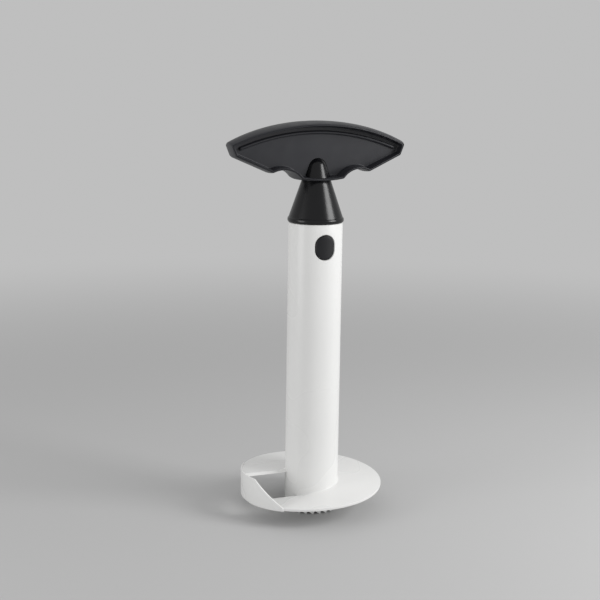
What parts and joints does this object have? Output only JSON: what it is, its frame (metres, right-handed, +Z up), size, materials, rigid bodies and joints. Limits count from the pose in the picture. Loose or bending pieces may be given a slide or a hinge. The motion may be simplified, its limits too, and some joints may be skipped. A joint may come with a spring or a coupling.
{
  "type": "pineapple slicer",
  "caption": "Twist-down corer and slicer: toothed coring tube with a spiral blade round its foot, and a T grip on a cone that lifts off at two sprung buttons.",
  "frame": {"origin": "on the coring tube's axis, at the tips of its saw teeth", "axes": "+Z up the tube to the grip, X along the T grip, the pictured front faces -Y"},
  "size_m": [0.1186, 0.093, 0.2565],
  "materials": {
    "white_plastic": "satin moulded white plastic",
    "charcoal_satin": "satin moulded charcoal plastic",
    "black_gloss": "polished moulded black plastic",
    "black_matte": "matte moulded black plastic"
  },
  "bodies": {
    "blade_unit": {"core_tube": "white_plastic", "spiral_blade": "white_plastic"},
    "handle": {"handle_grip": "charcoal_satin", "handle_cone": "black_gloss", "lock_plug": "black_matte"},
    "front_button": {"button_front": "black_matte"},
    "rear_button": {"button_rear": "black_matte"}
  },
  "joints": [
    {"name": "handle_lift", "type": "slide", "parent": "blade_unit", "child": "handle", "axis": [0, 0, 1], "range_m": [0, 0.055], "deforming": ["button_front", "button_rear"]},
    {"name": "front_button_press", "type": "hinge", "parent": "handle", "child": "front_button", "pos_m": [0, -0.0142, 0.1506], "axis": [-1, 0, 0], "range_deg": [0, 6.5], "stiffness_Nm_per_rad": 2.5},
    {"name": "rear_button_press", "type": "hinge", "parent": "handle", "child": "rear_button", "pos_m": [0, 0.0142, 0.1506], "axis": [1, 0, 0], "range_deg": [0, 6.5], "stiffness_Nm_per_rad": 2.5}
  ]
}
